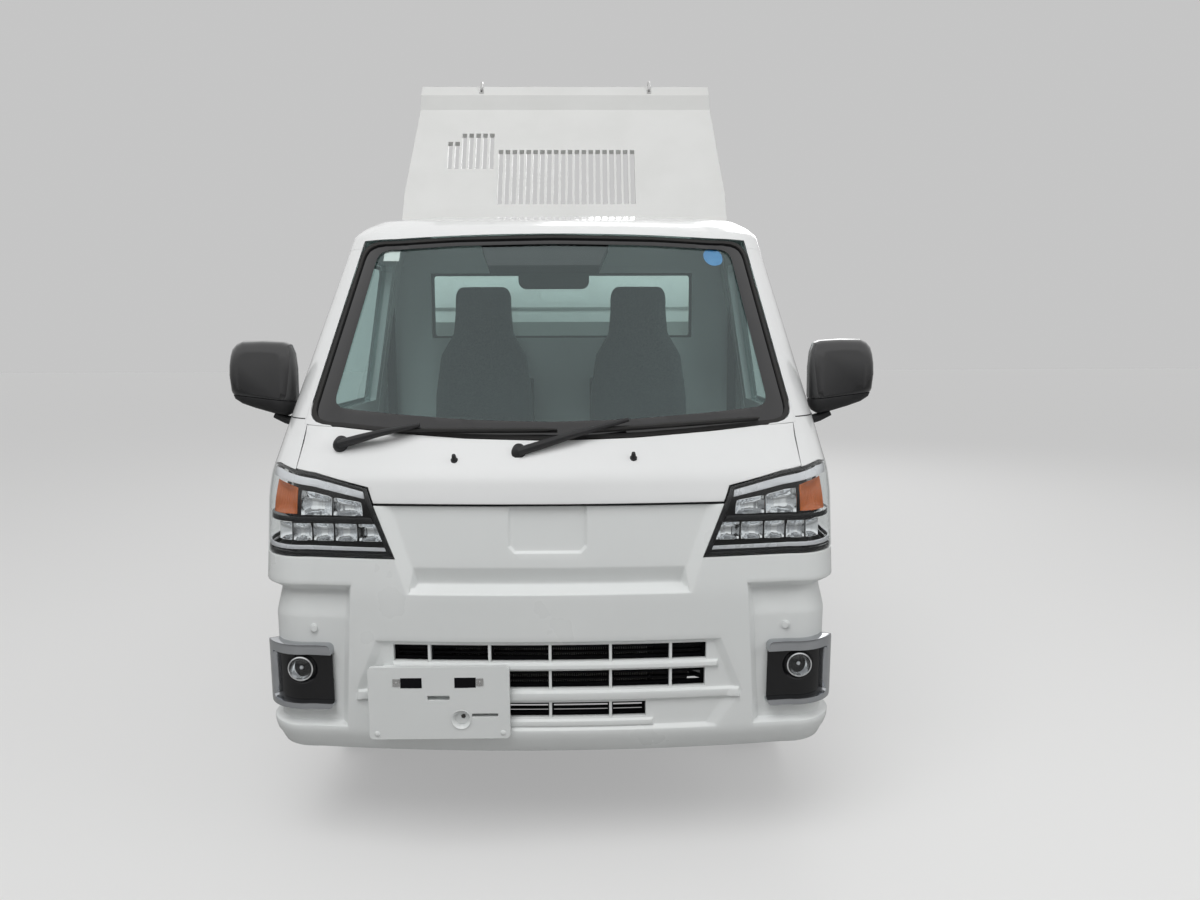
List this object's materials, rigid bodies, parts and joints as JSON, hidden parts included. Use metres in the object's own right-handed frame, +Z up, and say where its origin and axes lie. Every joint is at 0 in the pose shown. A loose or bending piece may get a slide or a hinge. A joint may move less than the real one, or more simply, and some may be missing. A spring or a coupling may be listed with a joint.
{
  "type": "kei dump truck",
  "caption": "Small cab-over truck with its steel tipping bed raised on a hydraulic cylinder; doors, gates, steering, wheels and bed move.",
  "frame": {"origin": "on the ground, midway along and across the truck as it stands with its bed raised", "axes": "+Z up; the truck faces -Y; +X to its own left"},
  "size_m": [1.83, 3.597, 2.5255],
  "materials": {
    "body_white": "gloss",
    "bumper_white": "gloss",
    "bed_white": "satin",
    "black_trim": "grained",
    "gloss_black": "gloss",
    "cab_glass": "clear",
    "lamp_lens": "clear",
    "fog_bezel": "polished",
    "dash_grey": "grained",
    "seat_cloth": "woven",
    "frame_black": "satin",
    "power_cast": "cast",
    "axle_black": "painted",
    "spring_steel": "satin",
    "rim_silver": "satin",
    "tyre": "rubber",
    "exhaust_steel": "heat dulled",
    "guard_black": "matt",
    "lamp_red": "gloss",
    "rod_chrome": "polished"
  },
  "bodies": {
    "chassis": {"cab_floor": "dash_grey", "cab_rear_wall": "body_white", "cab_roof": "body_white", "side_frames": "body_white", "front_panel": "body_white", "bumper": "bumper_white", "grille": "black_trim", "plate_bracket": "bumper_white", "cab_glass": "cab_glass", "headlamps": "lamp_lens", "fog_lamps": "fog_bezel", "wipers": "black_trim", "dashboard": "dash_grey", "seats": "seat_cloth", "chassis_frame": "frame_black", "engine_block": "power_cast", "driveline": "power_cast", "rear_axle": "axle_black", "leaf_springs": "spring_steel", "front_arms": "spring_steel", "exhaust": "exhaust_steel", "fuel_tank": "frame_black", "hydraulic_unit": "frame_black", "mudguards": "guard_black", "rear_lamps": "lamp_red"},
    "bed": {"bed_floor": "bed_white", "bed_headboard": "bed_white"},
    "tailgate": {"tailgate": "bed_white"},
    "lift_barrel": {"lift_barrel": "frame_black"},
    "lift_rod": {"lift_rod": "rod_chrome"},
    "steering_wheel": {"steering_wheel": "dash_grey"},
    "door_left": {"door_left": "body_white", "door_glass_left": "cab_glass", "mirror_left": "gloss_black"},
    "knuckle_left": {"knuckle_left": "axle_black"},
    "side_gate_left": {"side_gate_left": "bed_white"},
    "wheel_front_left": {"rim_front_left": "rim_silver", "tyre_front_left": "tyre"},
    "wheel_rear_left": {"rim_rear_left": "rim_silver", "tyre_rear_left": "tyre"},
    "door_right": {"door_right": "body_white", "door_glass_right": "cab_glass", "mirror_right": "gloss_black"},
    "knuckle_right": {"knuckle_right": "axle_black"},
    "side_gate_right": {"side_gate_right": "bed_white"},
    "wheel_front_right": {"rim_front_right": "rim_silver", "tyre_front_right": "tyre"},
    "wheel_rear_right": {"rim_rear_right": "rim_silver", "tyre_rear_right": "tyre"}
  },
  "joints": [
    {"name": "bed_tip", "type": "hinge", "parent": "chassis", "child": "bed", "pos_m": [0, 1.36951, 0.497], "axis": [-1, 0, 0], "range_deg": [-28.3, 16.7]},
    {"name": "lift_swing", "type": "hinge", "parent": "chassis", "child": "lift_barrel", "pos_m": [0, -0.10049, 0.34], "axis": [1, 0, 0], "range_deg": [-8.6, 5.1]},
    {"name": "lift_extend", "type": "slide", "parent": "lift_barrel", "child": "lift_rod", "axis": [0, 0.919, 0.3943], "range_m": [-0.1745, 0.1035]},
    {"name": "door_left_hinge", "type": "hinge", "parent": "chassis", "child": "door_left", "pos_m": [0.7315, -1.40149, 1], "axis": [0, 0, -1], "range_deg": [0, 65]},
    {"name": "steer_left", "type": "hinge", "parent": "chassis", "child": "knuckle_left", "pos_m": [0.61, -1.04149, 0.19], "axis": [-0.1961, 0, 0.9806], "range_deg": [-36, 36]},
    {"name": "wheel_front_left_spin", "type": "hinge", "parent": "knuckle_left", "child": "wheel_front_left", "pos_m": [0.6525, -1.04149, 0.268], "axis": [1, 0, 0], "continuous": true},
    {"name": "wheel_rear_left_spin", "type": "hinge", "parent": "chassis", "child": "wheel_rear_left", "pos_m": [0.65, 0.85851, 0.268], "axis": [1, 0, 0], "continuous": true},
    {"name": "side_gate_left_hinge", "type": "hinge", "parent": "bed", "child": "side_gate_left", "pos_m": [0.7295, 0.76523, 0.99046], "axis": [0, 0.8805, -0.4741], "range_deg": [0, 180]},
    {"name": "door_right_hinge", "type": "hinge", "parent": "chassis", "child": "door_right", "pos_m": [-0.7315, -1.40149, 1], "axis": [0, 0, 1], "range_deg": [0, 65]},
    {"name": "steer_right", "type": "hinge", "parent": "chassis", "child": "knuckle_right", "pos_m": [-0.61, -1.04149, 0.19], "axis": [0.1961, 0, 0.9806], "range_deg": [-36, 36]},
    {"name": "wheel_front_right_spin", "type": "hinge", "parent": "knuckle_right", "child": "wheel_front_right", "pos_m": [-0.6525, -1.04149, 0.268], "axis": [1, 0, 0], "continuous": true},
    {"name": "wheel_rear_right_spin", "type": "hinge", "parent": "chassis", "child": "wheel_rear_right", "pos_m": [-0.65, 0.85851, 0.268], "axis": [1, 0, 0], "continuous": true},
    {"name": "side_gate_right_hinge", "type": "hinge", "parent": "bed", "child": "side_gate_right", "pos_m": [-0.7295, 0.76523, 0.99046], "axis": [0, -0.8805, 0.4741], "range_deg": [0, 180]},
    {"name": "tailgate_hinge", "type": "hinge", "parent": "bed", "child": "tailgate", "pos_m": [0, 1.77587, 0.78133], "axis": [1, 0, 0], "range_deg": [0, 60]},
    {"name": "steering_wheel_turn", "type": "hinge", "parent": "chassis", "child": "steering_wheel", "pos_m": [-0.285, -1.16149, 0.975], "axis": [0, 0.6157, 0.788], "range_deg": [-620, 620]}
  ],
  "couplings": [
    {"joint": "steer_right", "follows": "steer_left", "ratio": 1},
    {"joint": "steering_wheel_turn", "follows": "steer_left", "ratio": 17},
    {"joint": "lift_swing", "follows": "bed_tip", "ratio": 0.3},
    {"joint": "lift_extend", "follows": "bed_tip", "m_per_rad": 0.352}
  ]
}
